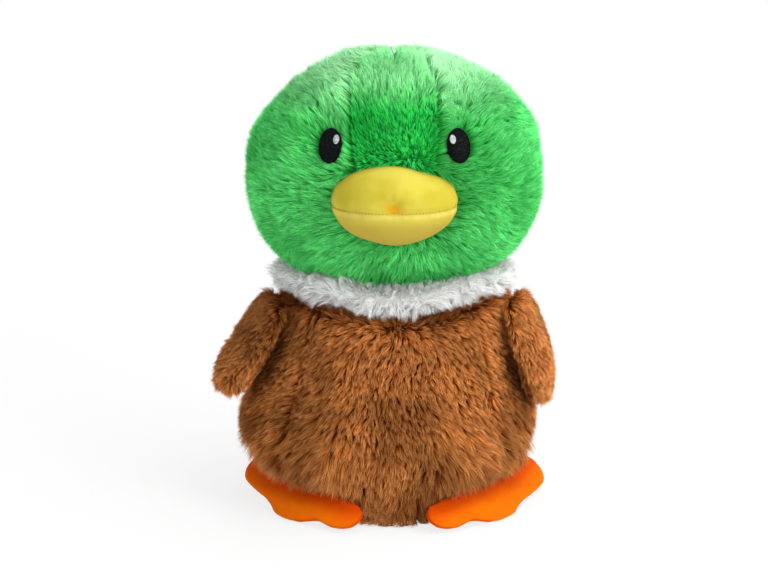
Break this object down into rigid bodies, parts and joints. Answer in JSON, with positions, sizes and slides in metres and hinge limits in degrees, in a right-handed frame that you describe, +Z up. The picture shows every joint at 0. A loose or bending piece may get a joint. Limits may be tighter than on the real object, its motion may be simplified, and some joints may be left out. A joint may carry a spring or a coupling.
{
  "type": "plush duck",
  "caption": "Sitting stuffed toy duck with a round head, soft bill, embroidered eyes, ruff collar, padded wings and lobed feet, sewn from plush panels.",
  "frame": {"origin": "on the floor under the middle of the body's flat base", "axes": "+Z up, the duck faces -Y, its own left side is at +X"},
  "size_m": [0.1799, 0.1907, 0.2382],
  "materials": {
    "plush_green": "long cut pile, softly shining",
    "plush_brown": "long cut pile, softly shining",
    "plush_white": "long cut pile, matt",
    "velboa_yellow": "short smooth pile, matt",
    "felt_orange": "brushed felt, matt",
    "thread_black": "embroidery thread, satin",
    "thread_white": "embroidery thread, satin",
    "fiberfill": "loose fibre, matt",
    "pouch_cloth": "plain woven cloth, matt",
    "foam_sheet": "thin foam sheet, matt"
  },
  "bodies": {
    "torso": {"body_front_panel": "plush_brown", "body_left_panel": "plush_brown", "body_right_panel": "plush_brown", "body_base_panel": "plush_brown", "body_stuffing": "fiberfill", "bean_pouch": "pouch_cloth", "collar_band": "plush_white", "tail_upper_panel": "plush_brown", "tail_lower_panel": "plush_brown", "tail_stuffing": "fiberfill"},
    "head": {"head_gusset": "plush_green", "head_left_panel": "plush_green", "head_right_panel": "plush_green", "head_stuffing": "fiberfill", "beak_upper": "velboa_yellow", "beak_lower": "velboa_yellow", "beak_stuffing": "fiberfill", "eye_left": "thread_black", "eye_left_highlight": "thread_white", "eye_right": "thread_black", "eye_right_highlight": "thread_white"},
    "wing_left": {"wing_left_outer_panel": "plush_brown", "wing_left_inner_panel": "plush_brown", "wing_left_stuffing": "fiberfill"},
    "foot_left": {"foot_left_top": "felt_orange", "foot_left_foam": "foam_sheet", "foot_left_sole": "felt_orange"},
    "wing_right": {"wing_right_outer_panel": "plush_brown", "wing_right_inner_panel": "plush_brown", "wing_right_stuffing": "fiberfill"},
    "foot_right": {"foot_right_top": "felt_orange", "foot_right_foam": "foam_sheet", "foot_right_sole": "felt_orange"}
  },
  "joints": [
    {"name": "head_nod", "type": "hinge", "parent": "torso", "child": "head", "pos_m": [0, 0, 0.1126], "axis": [1, 0, 0], "range_deg": [-12, 12], "stiffness_Nm_per_rad": 0.6, "deforming": ["collar_band"]},
    {"name": "wing_left_lift", "type": "hinge", "parent": "torso", "child": "wing_left", "pos_m": [0.0622, -0.01784, 0.1065], "axis": [-0.2756, -0.9613, 0], "range_deg": [0, 65], "stiffness_Nm_per_rad": 0.1},
    {"name": "wing_right_lift", "type": "hinge", "parent": "torso", "child": "wing_right", "pos_m": [-0.06071, -0.01741, 0.1065], "axis": [-0.2756, 0.9613, 0], "range_deg": [-2, 65], "stiffness_Nm_per_rad": 0.1},
    {"name": "foot_left_lift", "type": "hinge", "parent": "torso", "child": "foot_left", "pos_m": [0.04022, -0.04579, 0.01759], "axis": [-0.6525, -0.7502, -0.1072], "range_deg": [0, 15], "stiffness_Nm_per_rad": 0.05},
    {"name": "foot_right_lift", "type": "hinge", "parent": "torso", "child": "foot_right", "pos_m": [-0.04022, -0.04579, 0.01759], "axis": [-0.6525, 0.7502, 0.1072], "range_deg": [0, 15], "stiffness_Nm_per_rad": 0.05}
  ]
}
